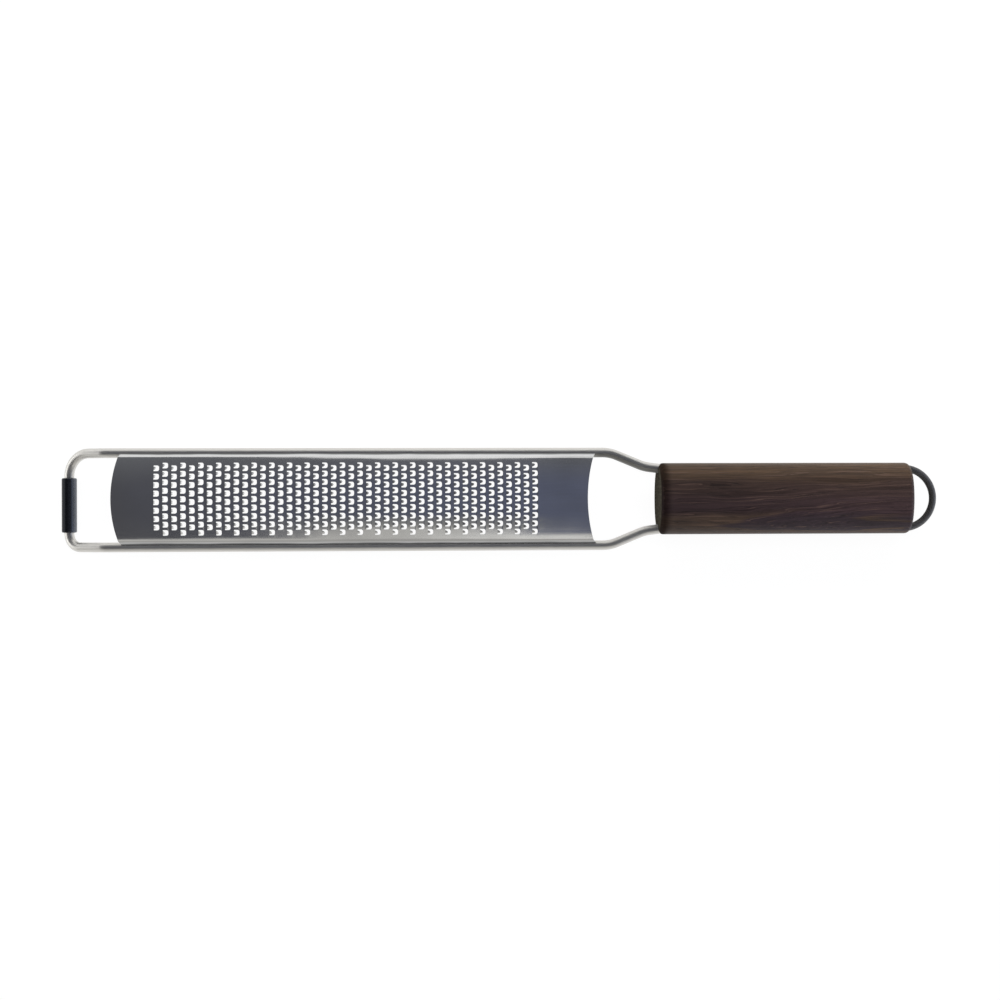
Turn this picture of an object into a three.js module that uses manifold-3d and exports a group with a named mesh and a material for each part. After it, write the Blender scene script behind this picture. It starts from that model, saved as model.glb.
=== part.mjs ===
// Long hand grater. An arched steel blade with a field of etched teeth stands on the rails of one bent
// wire, whose legs are glued into an oval oak handle. A rubber sleeve foots the nose of the wire, and a
// thinner wire loop in the handle's rear end hangs the tool up.
//
// Millimetres, +Z up. The nose points to -X, the handle to +X and the teeth to +Z. The origin lies on
// the surface that the tool rests on, under the middle of its box.

import * as THREE from 'three';
import { mergeVertices } from 'three/addons/utils/BufferGeometryUtils.js';
import Module from 'manifold-3d';

const { degToRad } = THREE.MathUtils;

// Frame wire
const WIRE_DIAMETER = 4;
const RAIL_SPACING = 38.6;          // between the rails' centre lines
const RAIL_LENGTH = 208.3;          // from the nose kink to the first neck corner
const NOSE_REACH = 15.2;            // from the nose kink forward to the crossbar
const NOSE_KINK_RADIUS = 6;
const NOSE_WIDE_RADIUS = 9.6;       // nose corner on the +Y side
const NOSE_TIGHT_RADIUS = 5.5;      // nose corner on the -Y side
const NECK_LENGTH = 20.1;           // from the first neck corner to the handle's front face
const NECK_RADIUS = 15.5;
const LEG_RUN = 5.7;                // from the second neck corner to the handle's front face
const LEG_TOE = degToRad(7);        // the legs draw together inside the handle
const LEG_DEPTH = 42;               // wire inside the handle

// Handle
const HANDLE_LENGTH = 106.5;
const HANDLE_WIDTH = 29.74;
const HANDLE_THICKNESS = 22;
const HANDLE_FULLNESS = 2.2;        // superellipse exponent of the section, where 2 is an ellipse
const HANDLE_ROUNDING = 2.2;        // rounded edge of both end faces
const LEG_WALL = 0.3;               // wood left outside each leg's bore, just behind the rounded edge
const LOOP_WALL = 0.42;             // wood left outside each bore of the hanging loop
const BOND_GAP = 0.15;              // glue round the legs in their bores
const LOOP_BOND_GAP = 0.45;         // glue round the loop's legs, which start to bend inside the bore
const BORE_END_GAP = 0.5;           // glue at the bottom of each bore

// Hanging loop
const LOOP_WIRE_DIAMETER = 3;
const LOOP_SINK = 2.2;              // the half circle's centre lies this far inside the rear face
const LOOP_DEPTH = 20;              // straight leg inside the handle

// Nose sleeve
const SLEEVE_DIAMETER = 6.2;
const SLEEVE_EDGE = 0.6;            // rounded edge of both ends
const SLEEVE_FIT_GAP = 0.15;        // between the sleeve's bore and the wire
const SLEEVE_END_GAP = 0.5;         // straight crossbar left bare at each end of the sleeve

// Grating blade
const BLADE_SETBACK = 3.37;         // from the nose kink back to the blade's front edge, in the middle
const BLADE_TAIL = 9.93;            // from the blade's rear edge back to the first neck corner
const BLADE_THICKNESS = 0.5;
const BLADE_RISE = 3;               // height of the arch over its bend lines
const BLADE_END_BOW = 2.65;         // both end cuts bulge towards the nose, from bend line to bend line
const BLADE_OFFSET = 0.4;           // the blade sits off the middle by this much, towards +Y
const FLANGE_WIDTH = 1.7;           // from a bend line down to the blade's edge
const FLANGE_TILT = degToRad(40);
const FLANGE_CLIP = 1.15;           // the end cuts fall back this much further over a flange
const EDGE_INSET = 1;               // from the rail's centre line in to the blade's edge, before the offset
const WELD_GAP = 0.15;              // weld between the blade's edge and the rail under it

// Teeth
const HOLE_LENGTH = 2.2;
const HOLE_WIDTH = 2.4;
const COLUMN_WEB = 1.4;             // steel left between two columns of holes
const ROW_WEB = 1.05;               // steel left between two holes of a column
const TOOTH_BASE = 1.3;
const TOOTH_TIP = 0.7;
const TOOTH_LENGTH = 1.1;
const TOOTH_LIFT = 0.64;            // tip above the sheet's upper face
const STAGGER = 1 / 3;              // of a row pitch, between neighbouring columns
const FIELD_SETBACK = 18.4;         // from the blade's front edge to the first column
const FIELD_TAIL = 20.5;            // plain sheet left behind the last column, at least
const FIELD_MARGIN = 3;             // from the middle of an outermost hole to the bend line, at least

// Fineness of the round surfaces
const WIRE_SIDES = 16;
const BEND_STEP = degToRad(15);
const BORE_SIDES = 24;
const HANDLE_SIDES = 40;
const ROUNDING_STEPS = 3;
const SLEEVE_SIDES = 24;
const SLEEVE_EDGE_STEPS = 2;
const BLADE_END_STEPS = 12;
const SAME_POINT = 1e-4;             // points closer than this are one

// Stations along the tool, counted from the tip of the nose and then centred on the box
const sleeveRadius = SLEEVE_DIAMETER / 2;
const wireRadius = WIRE_DIAMETER / 2;
const loopBoreRadius = LOOP_WIRE_DIAMETER / 2 + LOOP_BOND_GAP;
const loopRadius = HANDLE_WIDTH / 2 - LOOP_WALL - loopBoreRadius;
const loopReach = loopRadius + LOOP_WIRE_DIAMETER / 2 - LOOP_SINK;
const overallLength =
  sleeveRadius + NOSE_REACH + RAIL_LENGTH + NECK_LENGTH + HANDLE_LENGTH + loopReach;
const crossbarX = sleeveRadius - overallLength / 2;
const kinkX = crossbarX + NOSE_REACH;
const neckX = kinkX + RAIL_LENGTH;
const handleFrontX = neckX + NECK_LENGTH;
const handleRearX = handleFrontX + HANDLE_LENGTH;

// Heights: the handle's underside and the sleeve both stand on the ground
const railZ = HANDLE_THICKNESS / 2;
const crossbarZ = sleeveRadius;
const railY = RAIL_SPACING / 2;

// The legs' line inside the handle, measured where the rounded front edge ends
const legBoreRadius = wireRadius + BOND_GAP;
const legMouthX = handleFrontX + HANDLE_ROUNDING;
const legMouthY = HANDLE_WIDTH / 2 - LEG_WALL - legBoreRadius / Math.cos(LEG_TOE);
const legY = (x) => legMouthY - (x - legMouthX) * Math.tan(LEG_TOE);

const wasm = await Module();
wasm.setup();

function toSolid(geometry) {
  const bare = geometry.clone();
  bare.deleteAttribute('normal');
  bare.deleteAttribute('uv');
  const merged = mergeVertices(bare, SAME_POINT);
  return new wasm.Manifold(new wasm.Mesh({
    numProp: 3,
    vertProperties: new Float32Array(merged.attributes.position.array),
    triVerts: new Uint32Array(merged.index.array),
  }));
}

function toGeometry(solid) {
  const { vertProperties, triVerts } = solid.getMesh();
  const geometry = new THREE.BufferGeometry();
  geometry.setAttribute('position', new THREE.BufferAttribute(vertProperties, 3));
  geometry.setIndex(new THREE.BufferAttribute(triVerts, 1));
  return geometry;
}

function cut(geometry, tools) {
  const solid = tools.reduce((rest, tool) => rest.subtract(toSolid(tool)), toSolid(geometry));
  return toGeometry(solid);
}

// A bent wire's centre line: straight runs between corners, with a round bend at each inner corner.
// It is sampled at the ends of its runs and at even steps round its bends.
class BentWireCurve extends THREE.Curve {
  constructor(corners) {
    super();
    this.stations = [];
    corners.forEach((corner, i) => this.addCorner(corners[i - 1], corner, corners[i + 1]));
  }

  addCorner(before, corner, after) {
    if (!before || !after) {
      const [from, to] = before ? [before, corner] : [corner, after];
      this.addStation(corner.at, to.at.clone().sub(from.at).normalize());
      return;
    }
    const heading = corner.at.clone().sub(before.at).normalize();
    const exit = after.at.clone().sub(corner.at).normalize();
    const turn = heading.angleTo(exit);
    const axis = heading.clone().cross(exit).normalize();
    const inward = axis.clone().cross(heading).multiplyScalar(corner.radius);
    const run = corner.radius * Math.tan(turn / 2);
    const centre = corner.at.clone().addScaledVector(heading, -run).add(inward);
    const steps = Math.ceil(turn / BEND_STEP);
    for (let step = 0; step <= steps; step += 1) {
      const angle = (turn * step) / steps;
      const spoke = inward.clone().negate().applyAxisAngle(axis, angle);
      this.addStation(centre.clone().add(spoke), heading.clone().applyAxisAngle(axis, angle));
    }
  }

  addStation(point, tangent) {
    const last = this.stations.at(-1);
    if (last && last.point.distanceTo(point) < SAME_POINT) return;
    this.stations.push({ point: point.clone(), tangent });
  }

  get steps() {
    return this.stations.length - 1;
  }

  getPoint(t, target = new THREE.Vector3()) {
    return target.copy(this.stations[Math.round(t * this.steps)].point);
  }

  getPointAt(t, target) {
    return this.getPoint(t, target);
  }

  getTangent(t, target = new THREE.Vector3()) {
    return target.copy(this.stations[Math.round(t * this.steps)].tangent);
  }

  getTangentAt(t, target) {
    return this.getTangent(t, target);
  }
}

function circleShape(radius, sides) {
  const points = Array.from({ length: sides }, (_, i) => {
    const angle = (2 * Math.PI * i) / sides;
    return new THREE.Vector2(radius * Math.cos(angle), radius * Math.sin(angle));
  });
  return new THREE.Shape(points);
}

function wireGeometry(corners, diameter) {
  const curve = new BentWireCurve(corners);
  return new THREE.ExtrudeGeometry(circleShape(diameter / 2, WIRE_SIDES), {
    steps: curve.steps,
    extrudePath: curve,
  });
}

const corner = (x, y, z, radius = 0) => ({ at: new THREE.Vector3(x, y, z), radius });

// One half of the frame wire, from the leg's end in the handle to the corner of the nose
function frameHalf(side, noseRadius) {
  const legEndX = handleFrontX + LEG_DEPTH;
  const bendX = handleFrontX - LEG_RUN;
  return [
    corner(legEndX, side * legY(legEndX), railZ),
    corner(bendX, side * legY(bendX), railZ, NECK_RADIUS),
    corner(neckX, side * railY, railZ, NECK_RADIUS),
    corner(kinkX, side * railY, railZ, NOSE_KINK_RADIUS),
    corner(crossbarX, side * railY, crossbarZ, noseRadius),
  ];
}

function frameWireGeometry() {
  const wideHalf = frameHalf(1, NOSE_WIDE_RADIUS);
  const tightHalf = frameHalf(-1, NOSE_TIGHT_RADIUS);
  return wireGeometry([...wideHalf, ...tightHalf.reverse()], WIRE_DIAMETER);
}

function hangingLoopGeometry() {
  const centreX = handleRearX - LOOP_SINK;
  const legEndX = handleRearX - LOOP_DEPTH;
  const crownX = centreX + loopRadius;
  return wireGeometry([
    corner(legEndX, loopRadius, railZ),
    corner(crownX, loopRadius, railZ, loopRadius),
    corner(crownX, -loopRadius, railZ, loopRadius),
    corner(legEndX, -loopRadius, railZ),
  ], LOOP_WIRE_DIAMETER);
}

// A straight bore from one point to another, wide enough at its flats for the stated radius
function boreTool(from, to, radius) {
  const axis = to.clone().sub(from);
  const flatsRadius = radius / Math.cos(Math.PI / BORE_SIDES);
  const tool = new THREE.CylinderGeometry(flatsRadius, flatsRadius, axis.length(), BORE_SIDES);
  const turn = new THREE.Quaternion().setFromUnitVectors(
    new THREE.Vector3(0, 1, 0),
    axis.clone().normalize(),
  );
  tool.applyQuaternion(turn);
  const middle = from.clone().lerp(to, 0.5);
  return tool.translate(middle.x, middle.y, middle.z);
}

// The superellipse section, turned by half a facet so that it has a flat below to stand on
function handleSection() {
  const halfStep = Math.PI / HANDLE_SIDES;
  const power = 2 / HANDLE_FULLNESS;
  const bulge = (value) => Math.sign(value) * (Math.abs(value) / Math.cos(halfStep)) ** power;
  const points = Array.from({ length: HANDLE_SIDES }, (_, i) => {
    const angle = (2 * i + 1) * halfStep;
    return new THREE.Vector2(
      (HANDLE_WIDTH / 2) * bulge(Math.cos(angle)),
      (HANDLE_THICKNESS / 2) * bulge(Math.sin(angle)),
    );
  });
  return new THREE.Shape(points);
}

function handleGeometry() {
  const block = new THREE.ExtrudeGeometry(handleSection(), {
    depth: HANDLE_LENGTH - 2 * HANDLE_ROUNDING,
    bevelThickness: HANDLE_ROUNDING,
    bevelSize: HANDLE_ROUNDING,
    bevelOffset: -HANDLE_ROUNDING,
    bevelSegments: ROUNDING_STEPS,
  });
  const lengthwise = new THREE.Matrix4().makeBasis(
    new THREE.Vector3(0, 1, 0),
    new THREE.Vector3(0, 0, 1),
    new THREE.Vector3(1, 0, 0),
  );
  block.applyMatrix4(lengthwise);
  block.translate(handleFrontX + HANDLE_ROUNDING, 0, railZ);

  const legInX = handleFrontX - LEG_RUN;
  const legEndX = handleFrontX + LEG_DEPTH + BORE_END_GAP;
  const loopInX = handleRearX + LOOP_SINK;
  const loopEndX = handleRearX - LOOP_DEPTH - BORE_END_GAP;
  const bores = [1, -1].flatMap((side) => [
    boreTool(
      new THREE.Vector3(legInX, side * legY(legInX), railZ),
      new THREE.Vector3(legEndX, side * legY(legEndX), railZ),
      legBoreRadius,
    ),
    boreTool(
      new THREE.Vector3(loopInX, side * loopRadius, railZ),
      new THREE.Vector3(loopEndX, side * loopRadius, railZ),
      loopBoreRadius,
    ),
  ]);
  return cut(block, bores);
}

// The sleeve fills the straight part of the crossbar, which lies off the middle because the two
// corners of the nose differ. It is turned round the Y axis.
function noseSleeveGeometry() {
  const low = -railY + NOSE_TIGHT_RADIUS + SLEEVE_END_GAP;
  const high = railY - NOSE_WIDE_RADIUS - SLEEVE_END_GAP;
  const boreRadius = (wireRadius + SLEEVE_FIT_GAP) / Math.cos(Math.PI / SLEEVE_SIDES);
  const roundEdge = (y, inward, startAngle) => Array.from({ length: SLEEVE_EDGE_STEPS + 1 }, (_, i) => {
    const angle = startAngle + ((Math.PI / 2) * i) / SLEEVE_EDGE_STEPS;
    return new THREE.Vector2(
      sleeveRadius - SLEEVE_EDGE + SLEEVE_EDGE * Math.cos(angle),
      y + inward * SLEEVE_EDGE + SLEEVE_EDGE * Math.sin(angle),
    );
  });
  const profile = [
    new THREE.Vector2(boreRadius, low),
    ...roundEdge(low, 1, -Math.PI / 2),
    ...roundEdge(high, -1, 0),
    new THREE.Vector2(boreRadius, high),
    new THREE.Vector2(boreRadius, low),
  ];
  return new THREE.LatheGeometry(profile, SLEEVE_SIDES).translate(crossbarX, 0, crossbarZ);
}

// Where the blade's two edges stand on the rails, as points across the tool
function edgeSeat(side) {
  const inset = EDGE_INSET - side * BLADE_OFFSET;
  const rise = Math.sqrt((wireRadius + WELD_GAP) ** 2 - inset ** 2);
  return new THREE.Vector2(side * (railY - inset), railZ + rise);
}

// The blade's section in its own frame, which has its origin halfway between the two seats: an arch
// between two bend lines, and outside each a flat flange that slopes down to the blade's edge
const bladeOrigin = edgeSeat(-1).lerp(edgeSeat(1), 0.5);
const bladeAcross = edgeSeat(1).sub(bladeOrigin);
const bendY = bladeAcross.length() - FLANGE_WIDTH * Math.cos(FLANGE_TILT);
const bendZ = FLANGE_WIDTH * Math.sin(FLANGE_TILT);
const archRadius = (bendY ** 2 + BLADE_RISE ** 2) / (2 * BLADE_RISE);
const archCentreZ = bendZ + BLADE_RISE - archRadius;
const archSlope = Math.asin(bendY / archRadius);
const bodyGirth = archRadius * archSlope;
const halfGirth = bodyGirth + FLANGE_WIDTH;
const bladeFrontX = kinkX + BLADE_SETBACK;
const bladeLength = RAIL_LENGTH - BLADE_SETBACK - BLADE_TAIL;
const columnPitch = HOLE_LENGTH + COLUMN_WEB;
const rowPitch = HOLE_WIDTH + ROW_WEB;
const columnCount = 1 + Math.floor((bladeLength - FIELD_SETBACK - FIELD_TAIL) / columnPitch);
const rowsPerSide = Math.floor((bodyGirth - FIELD_MARGIN) / rowPitch);

// Long columns are centred on the sheet. Every other column, from the first, is one tooth shorter and
// set over by the stagger.
function holeCentres(column) {
  const isLong = column % 2 === 1;
  const count = 2 * rowsPerSide + (isLong ? 1 : 0);
  const first = -rowsPerSide + (isLong ? 0 : 1 - STAGGER);
  return Array.from({ length: count }, (_, row) => (first + row) * rowPitch);
}

// The blade is laid out flat, with x along the tool and s across it on the sheet's underside, and is
// bent into its section as each point is placed. On a bend line, height is measured along the mitre.
function sectionPoint(s, height) {
  const girth = Math.abs(s);
  if (girth < bodyGirth) {
    const radius = archRadius + height;
    const angle = s / archRadius;
    return new THREE.Vector2(radius * Math.sin(angle), archCentreZ + radius * Math.cos(angle));
  }
  const mitre = Math.tan((FLANGE_TILT - archSlope) / 2);
  const reach = girth > bodyGirth ? girth - bodyGirth : -height * mitre;
  return new THREE.Vector2(
    Math.sign(s) * (bendY + reach * Math.cos(FLANGE_TILT) + height * Math.sin(FLANGE_TILT)),
    bendZ - reach * Math.sin(FLANGE_TILT) + height * Math.cos(FLANGE_TILT),
  );
}

// How far an end cut falls back from the middle line at s
function endBow(s) {
  const cutRadius = (bodyGirth ** 2 + BLADE_END_BOW ** 2) / (2 * BLADE_END_BOW);
  const girth = Math.min(Math.abs(s), bodyGirth);
  const clip = (FLANGE_CLIP * (Math.abs(s) - girth)) / FLANGE_WIDTH;
  return cutRadius - Math.sqrt(cutRadius ** 2 - girth ** 2) + clip;
}

class ToothedSheet {
  constructor() {
    this.positions = [];
    this.index = [];
  }

  point(x, s, height) {
    const place = sectionPoint(s, height).rotateAround(new THREE.Vector2(), bladeAcross.angle());
    place.add(bladeOrigin);
    this.positions.push(x, place.x, place.y);
    return { id: this.positions.length / 3 - 1, s };
  }

  // A polygon that is fanned out from its first point
  face(...corners) {
    for (let i = 2; i < corners.length; i += 1) {
      this.index.push(corners[0].id, corners[i - 1].id, corners[i].id);
    }
  }

  // A line of points across the sheet, on its upper and lower face
  line(xAt, upper, lower = upper) {
    return {
      upper: upper.map((s) => this.point(xAt(s), s, BLADE_THICKNESS)),
      lower: lower.map((s) => this.point(xAt(s), s, 0)),
    };
  }

  // The strip between two rows of points, seen from above with the first on the left
  zip(left, right, addFace) {
    let i = 0;
    let j = 0;
    while (i < left.length - 1 || j < right.length - 1) {
      const leftNext = i < left.length - 1 ? left[i + 1].s : Infinity;
      const rightNext = j < right.length - 1 ? right[j + 1].s : Infinity;
      if (leftNext < rightNext) {
        addFace(left[i], right[j], left[i + 1]);
        i += 1;
      } else {
        addFace(left[i], right[j], right[j + 1]);
        j += 1;
      }
    }
  }

  // Unbroken sheet between two lines
  plain(left, right) {
    this.zip(left.upper, right.upper, (a, b, c) => this.face(a, b, c));
    this.zip(left.lower, right.lower, (a, b, c) => this.face(a, c, b));
    this.sides(left, right);
  }

  // The sheet's long edges between two lines
  sides(left, right) {
    this.face(left.lower[0], right.lower[0], right.upper[0], left.upper[0]);
    this.face(left.lower.at(-1), left.upper.at(-1), right.upper.at(-1), right.lower.at(-1));
  }

  // The cut face at one end of the sheet
  end(line, isFront) {
    for (let i = 0; i < line.upper.length - 1; i += 1) {
      const rim = [line.lower[i], line.upper[i], line.upper[i + 1], line.lower[i + 1]];
      this.face(...(isFront ? rim : rim.reverse()));
    }
  }

  // One column of holes: both flanges, the webs between the holes, and each hole's walls and tooth
  column(x, centres) {
    const rims = centres.map((s) => [s - HOLE_WIDTH / 2, s + HOLE_WIDTH / 2]);
    const roots = centres.map((s) => [s - TOOTH_BASE / 2, s + TOOTH_BASE / 2]);
    const acrossSheet = (points) => [-halfGirth, -bodyGirth, ...points, bodyGirth, halfGirth];
    const holeLine = acrossSheet(rims.flat());
    const toothLine = acrossSheet(rims.flatMap(([low, high], k) => [low, ...roots[k], high]));
    const leftX = x - HOLE_LENGTH / 2;
    const left = this.line(() => leftX, toothLine, holeLine);
    const right = this.line(() => leftX + HOLE_LENGTH, holeLine);
    this.panel(left, right, 0, 0);
    for (let k = 0; k <= centres.length; k += 1) this.panel(left, right, 4 * k + 1, 2 * k + 1);
    this.panel(left, right, 4 * centres.length + 2, 2 * centres.length + 2);
    centres.forEach((s, k) => {
      const tip = [s - TOOTH_TIP / 2, s + TOOTH_TIP / 2].map(
        (edge) => this.point(leftX + TOOTH_LENGTH, edge, BLADE_THICKNESS + TOOTH_LIFT),
      );
      this.hole(left, right, k, tip);
    });
    this.sides(left, right);
    return { left, right };
  }

  // The sheet beside a hole, between points u and u + 1 on the tooth side and v and v + 1 elsewhere
  panel(left, right, u, v) {
    this.face(left.upper[u], right.upper[v], right.upper[v + 1], left.upper[u + 1]);
    this.face(left.lower[v], left.lower[v + 1], right.lower[v + 1], right.lower[v]);
  }

  // The tooth grows from the hole's left wall. Its underside runs from the wall's foot to the tip.
  hole(left, right, k, [lowTip, highTip]) {
    const [lowUp, lowRoot, highRoot, highUp] = left.upper.slice(4 * k + 2, 4 * k + 6);
    const [lowDown, highDown] = left.lower.slice(2 * k + 2, 2 * k + 4);
    const [lowUpRight, highUpRight] = right.upper.slice(2 * k + 2, 2 * k + 4);
    const [lowDownRight, highDownRight] = right.lower.slice(2 * k + 2, 2 * k + 4);
    this.face(lowDownRight, lowUpRight, highUpRight, highDownRight);
    this.face(lowDown, lowUp, lowUpRight, lowDownRight);
    this.face(highDown, highDownRight, highUpRight, highUp);
    this.face(lowRoot, lowTip, highTip, highRoot);
    this.face(lowDown, highDown, highTip, lowTip);
    this.face(lowDown, lowTip, lowRoot, lowUp);
    this.face(highDown, highUp, highRoot, highTip);
  }

  geometry() {
    const geometry = new THREE.BufferGeometry();
    geometry.setAttribute('position', new THREE.Float32BufferAttribute(this.positions, 3));
    geometry.setIndex(this.index);
    return geometry;
  }
}

function gratingBladeGeometry() {
  const sheet = new ToothedSheet();
  const archPoints = Array.from(
    { length: BLADE_END_STEPS + 1 },
    (_, i) => bodyGirth * ((2 * i) / BLADE_END_STEPS - 1),
  );
  const endPoints = [-halfGirth, ...archPoints, halfGirth];
  const front = sheet.line((s) => bladeFrontX + endBow(s), endPoints);
  sheet.end(front, true);
  let last = front;
  for (let column = 0; column < columnCount; column += 1) {
    const x = bladeFrontX + FIELD_SETBACK + column * columnPitch;
    const { left, right } = sheet.column(x, holeCentres(column));
    sheet.plain(last, left);
    last = right;
  }
  const rear = sheet.line((s) => bladeFrontX + bladeLength + endBow(s), endPoints);
  sheet.plain(last, rear);
  sheet.end(rear, false);
  return sheet.geometry();
}

const finishes = {
  polishedSteel: { color: 0xb9bbbf, roughness: 0.22, metalness: 1 },
  etchedSteel: { color: 0x8b8d93, roughness: 0.3, metalness: 1 },
  darkWire: { color: 0x77777a, roughness: 0.35, metalness: 1 },
  smokedOak: { color: 0x3d2e27, roughness: 0.55, metalness: 0 },
  blackRubber: { color: 0x17181b, roughness: 0.5, metalness: 0 },
};

function piece(name, geometry, finish) {
  const mesh = new THREE.Mesh(geometry, new THREE.MeshStandardMaterial(finish));
  mesh.name = name;
  return mesh;
}

const grater = new THREE.Group();
grater.name = 'grater';
grater.add(
  piece('handle', handleGeometry(), finishes.smokedOak),
  piece('frame_wire', frameWireGeometry(), finishes.polishedSteel),
  piece('grating_blade', gratingBladeGeometry(), finishes.etchedSteel),
  piece('nose_sleeve', noseSleeveGeometry(), finishes.blackRubber),
  piece('hanging_loop', hangingLoopGeometry(), finishes.darkWire),
);

export default grater;
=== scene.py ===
"""Looks of a long hand grater: an etched steel blade on the rails of a bent steel rod, a rubber nose
sleeve, a smoked oak handle and a wire hanging loop, on a pale floor under soft studio light.

The frame gives the stations of every piece. Sizes that the frame's boxes don't show are named below, in
millimetres, and meshes are scaled to metres as they are made. Materials, floor and lamps are in metres.
"""

import math

import bmesh
import bpy
from mathutils import Matrix, Vector


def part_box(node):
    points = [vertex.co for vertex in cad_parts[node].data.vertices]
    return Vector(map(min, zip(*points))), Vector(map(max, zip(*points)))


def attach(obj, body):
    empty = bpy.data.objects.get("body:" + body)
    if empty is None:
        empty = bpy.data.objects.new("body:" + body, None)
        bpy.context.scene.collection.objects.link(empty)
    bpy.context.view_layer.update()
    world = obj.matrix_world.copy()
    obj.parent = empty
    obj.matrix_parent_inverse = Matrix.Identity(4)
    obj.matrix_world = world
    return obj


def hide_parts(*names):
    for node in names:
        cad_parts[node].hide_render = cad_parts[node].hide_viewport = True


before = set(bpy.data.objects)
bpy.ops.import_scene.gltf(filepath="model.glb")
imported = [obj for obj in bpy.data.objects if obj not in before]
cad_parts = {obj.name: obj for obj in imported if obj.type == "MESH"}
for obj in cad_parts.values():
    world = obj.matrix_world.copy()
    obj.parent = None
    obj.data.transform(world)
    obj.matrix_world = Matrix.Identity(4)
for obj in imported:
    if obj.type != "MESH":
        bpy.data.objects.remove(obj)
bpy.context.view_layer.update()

MM = 0.001
FULL_TURN = 2 * math.pi
QUARTER_TURN = math.pi / 2

# Camera: it looks down on the tool from close over the nose half
VIEW_TARGET = (0, 0, 11)             # point of the tool that the measured view is set from
VIEW_DISTANCE = 800
VIEW_LEAN = math.radians(4)          # the camera stands towards the nose by this much
VIEW_ROLL = math.radians(0.17)
VIEW_SLIDE = (-1.78, -0.35)          # right and up, which sets the tool off the picture's middle
FOCAL_SHARE = 1.9272                 # focal length as a share of the picture's width
SENSOR_WIDTH = 36

# Frame rod
ROD_DIAMETER = 4
NOSE_REACH = 15.2                    # from the crossbar back to the kinks where the rails begin
NOSE_KINK_RADIUS = 6
NOSE_WIDE_RADIUS = 9.6               # corner of the nose on the +Y side
NOSE_TIGHT_RADIUS = 5.5              # corner of the nose on the -Y side
NECK_LENGTH = 20.1                   # from the first neck corner to the handle's front
NECK_RADIUS = 15.5
LEG_RUN = 5.7                        # from the second neck corner to the handle's front
LEG_TOE = math.radians(7)            # each leg leans in by this much
LEG_DEPTH = 42
LEG_WALL = 0.3                       # wood outside a leg's bore, where the handle reaches its full width
BOND_GAP = 0.15

# Handle
HANDLE_FULLNESS = 2.2                # power of the superellipse, where 2 is an ellipse
HANDLE_ROUNDING = 2.2
BORE_END_GAP = 0.5
BORE_OVERRUN = 5.7                   # a bore's cutter starts this far outside the handle

# Hanging loop
LOOP_WIRE_DIAMETER = 3
LOOP_BOND_GAP = 0.45
LOOP_DEPTH = 20

# Nose sleeve
SLEEVE_EDGE = 0.6
SLEEVE_FIT_GAP = 0.1

# Blade
BLADE_THICKNESS = 0.5
BLADE_RISE = 3                       # of the arch over the bends of its flanges
BLADE_END_BOW = 2.65                 # the end cuts fall back by this much at the bends
BLADE_OFFSET = 0.4                   # towards +Y
FLANGE_WIDTH = 1.7
FLANGE_TILT = math.radians(40)
FLANGE_CLIP = 1.15                   # the end cuts fall back by this much more along the flanges
BEND_LENGTH = 1.8                    # sheet that the rounded bend of each flange takes up
EDGE_INSET = 1                       # from a rail's axis in to the edge that stands on it
WELD_GAP = 0.15
FIELD_SETBACK = 18.4                 # from the front cut back to the middle of the first column
COLUMN_PITCH = 3.6
COLUMN_COUNT = 44
ROW_PITCH = 3.45
ROWS_PER_SIDE = 4
STAGGER = 1 / 3                      # of a row, from column to column
HOLE_LENGTH = 2.2
HOLE_WIDTH = 2.4
HOLE_ROUNDING = 0.8
TOOTH_BASE = 1.3                     # width of a tongue at its root
TOOTH_LENGTH = 1.1
TOOTH_LIFT = 0.64
TOOTH_TIP_THICKNESS = 0.14
TOOTH_CROWN = 0.06                   # a tongue's sides lie below its middle by up to this much
TOOTH_CURL = 1.08                    # 1 is a straight ramp, more bends the tongue up towards its tip

# Fineness
ROD_SIDES = 32
BEND_STEP = math.radians(4)
HANDLE_SIDES = 112
ROUNDING_STEPS = 8
BORE_SIDES = 48
SLEEVE_SIDES = 64
SLEEVE_EDGE_STEPS = 6
HOLE_ARC_STEPS = 4
BEND_STEPS = 6
MARGIN_STEP = 0.9                    # sheet between rows of points, from the field of holes to the bends
TOOTH_ROWS = 4
TOOTH_COLUMNS = 4
PLAIN_STEP = 2.2                     # sheet between rows of points, from the field of holes to the end cuts
PLAIN_COLUMNS = 26
SAME_POINT = 1e-4                    # points of a line that lie closer than this are one
SHARP_ANGLE = math.radians(24)       # the root of a tooth is a crease, the facets of a round aren't


def box_mm(node):
    """Lowest and highest corner of a CAD node, in millimetres."""
    low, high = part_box(node)
    return low / MM, high / MM


ROD_LOW, ROD_HIGH = box_mm("frame_wire")
HANDLE_LOW, HANDLE_HIGH = box_mm("handle")
LOOP_HIGH = box_mm("hanging_loop")[1]
SLEEVE_LOW, SLEEVE_HIGH = box_mm("nose_sleeve")
BLADE_LOW, BLADE_HIGH = box_mm("grating_blade")

ROD_RADIUS = ROD_DIAMETER / 2
RAIL_Y = ROD_HIGH.y - ROD_RADIUS
RAIL_Z = ROD_HIGH.z - ROD_RADIUS
CROSSBAR_X = ROD_LOW.x + ROD_RADIUS
CROSSBAR_Z = ROD_LOW.z + ROD_RADIUS
KINK_X = CROSSBAR_X + NOSE_REACH
NECK_X = HANDLE_LOW.x - NECK_LENGTH
HANDLE_WIDTH = HANDLE_HIGH.y - HANDLE_LOW.y
HANDLE_THICKNESS = HANDLE_HIGH.z - HANDLE_LOW.z
LOOP_WIRE_RADIUS = LOOP_WIRE_DIAMETER / 2
LOOP_RADIUS = LOOP_HIGH.y - LOOP_WIRE_RADIUS


# Mesh helpers


def add_object(name, data):
    """A new object in the scene."""
    added = bpy.data.objects.new(name, data)
    bpy.context.scene.collection.objects.link(added)
    return added


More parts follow.
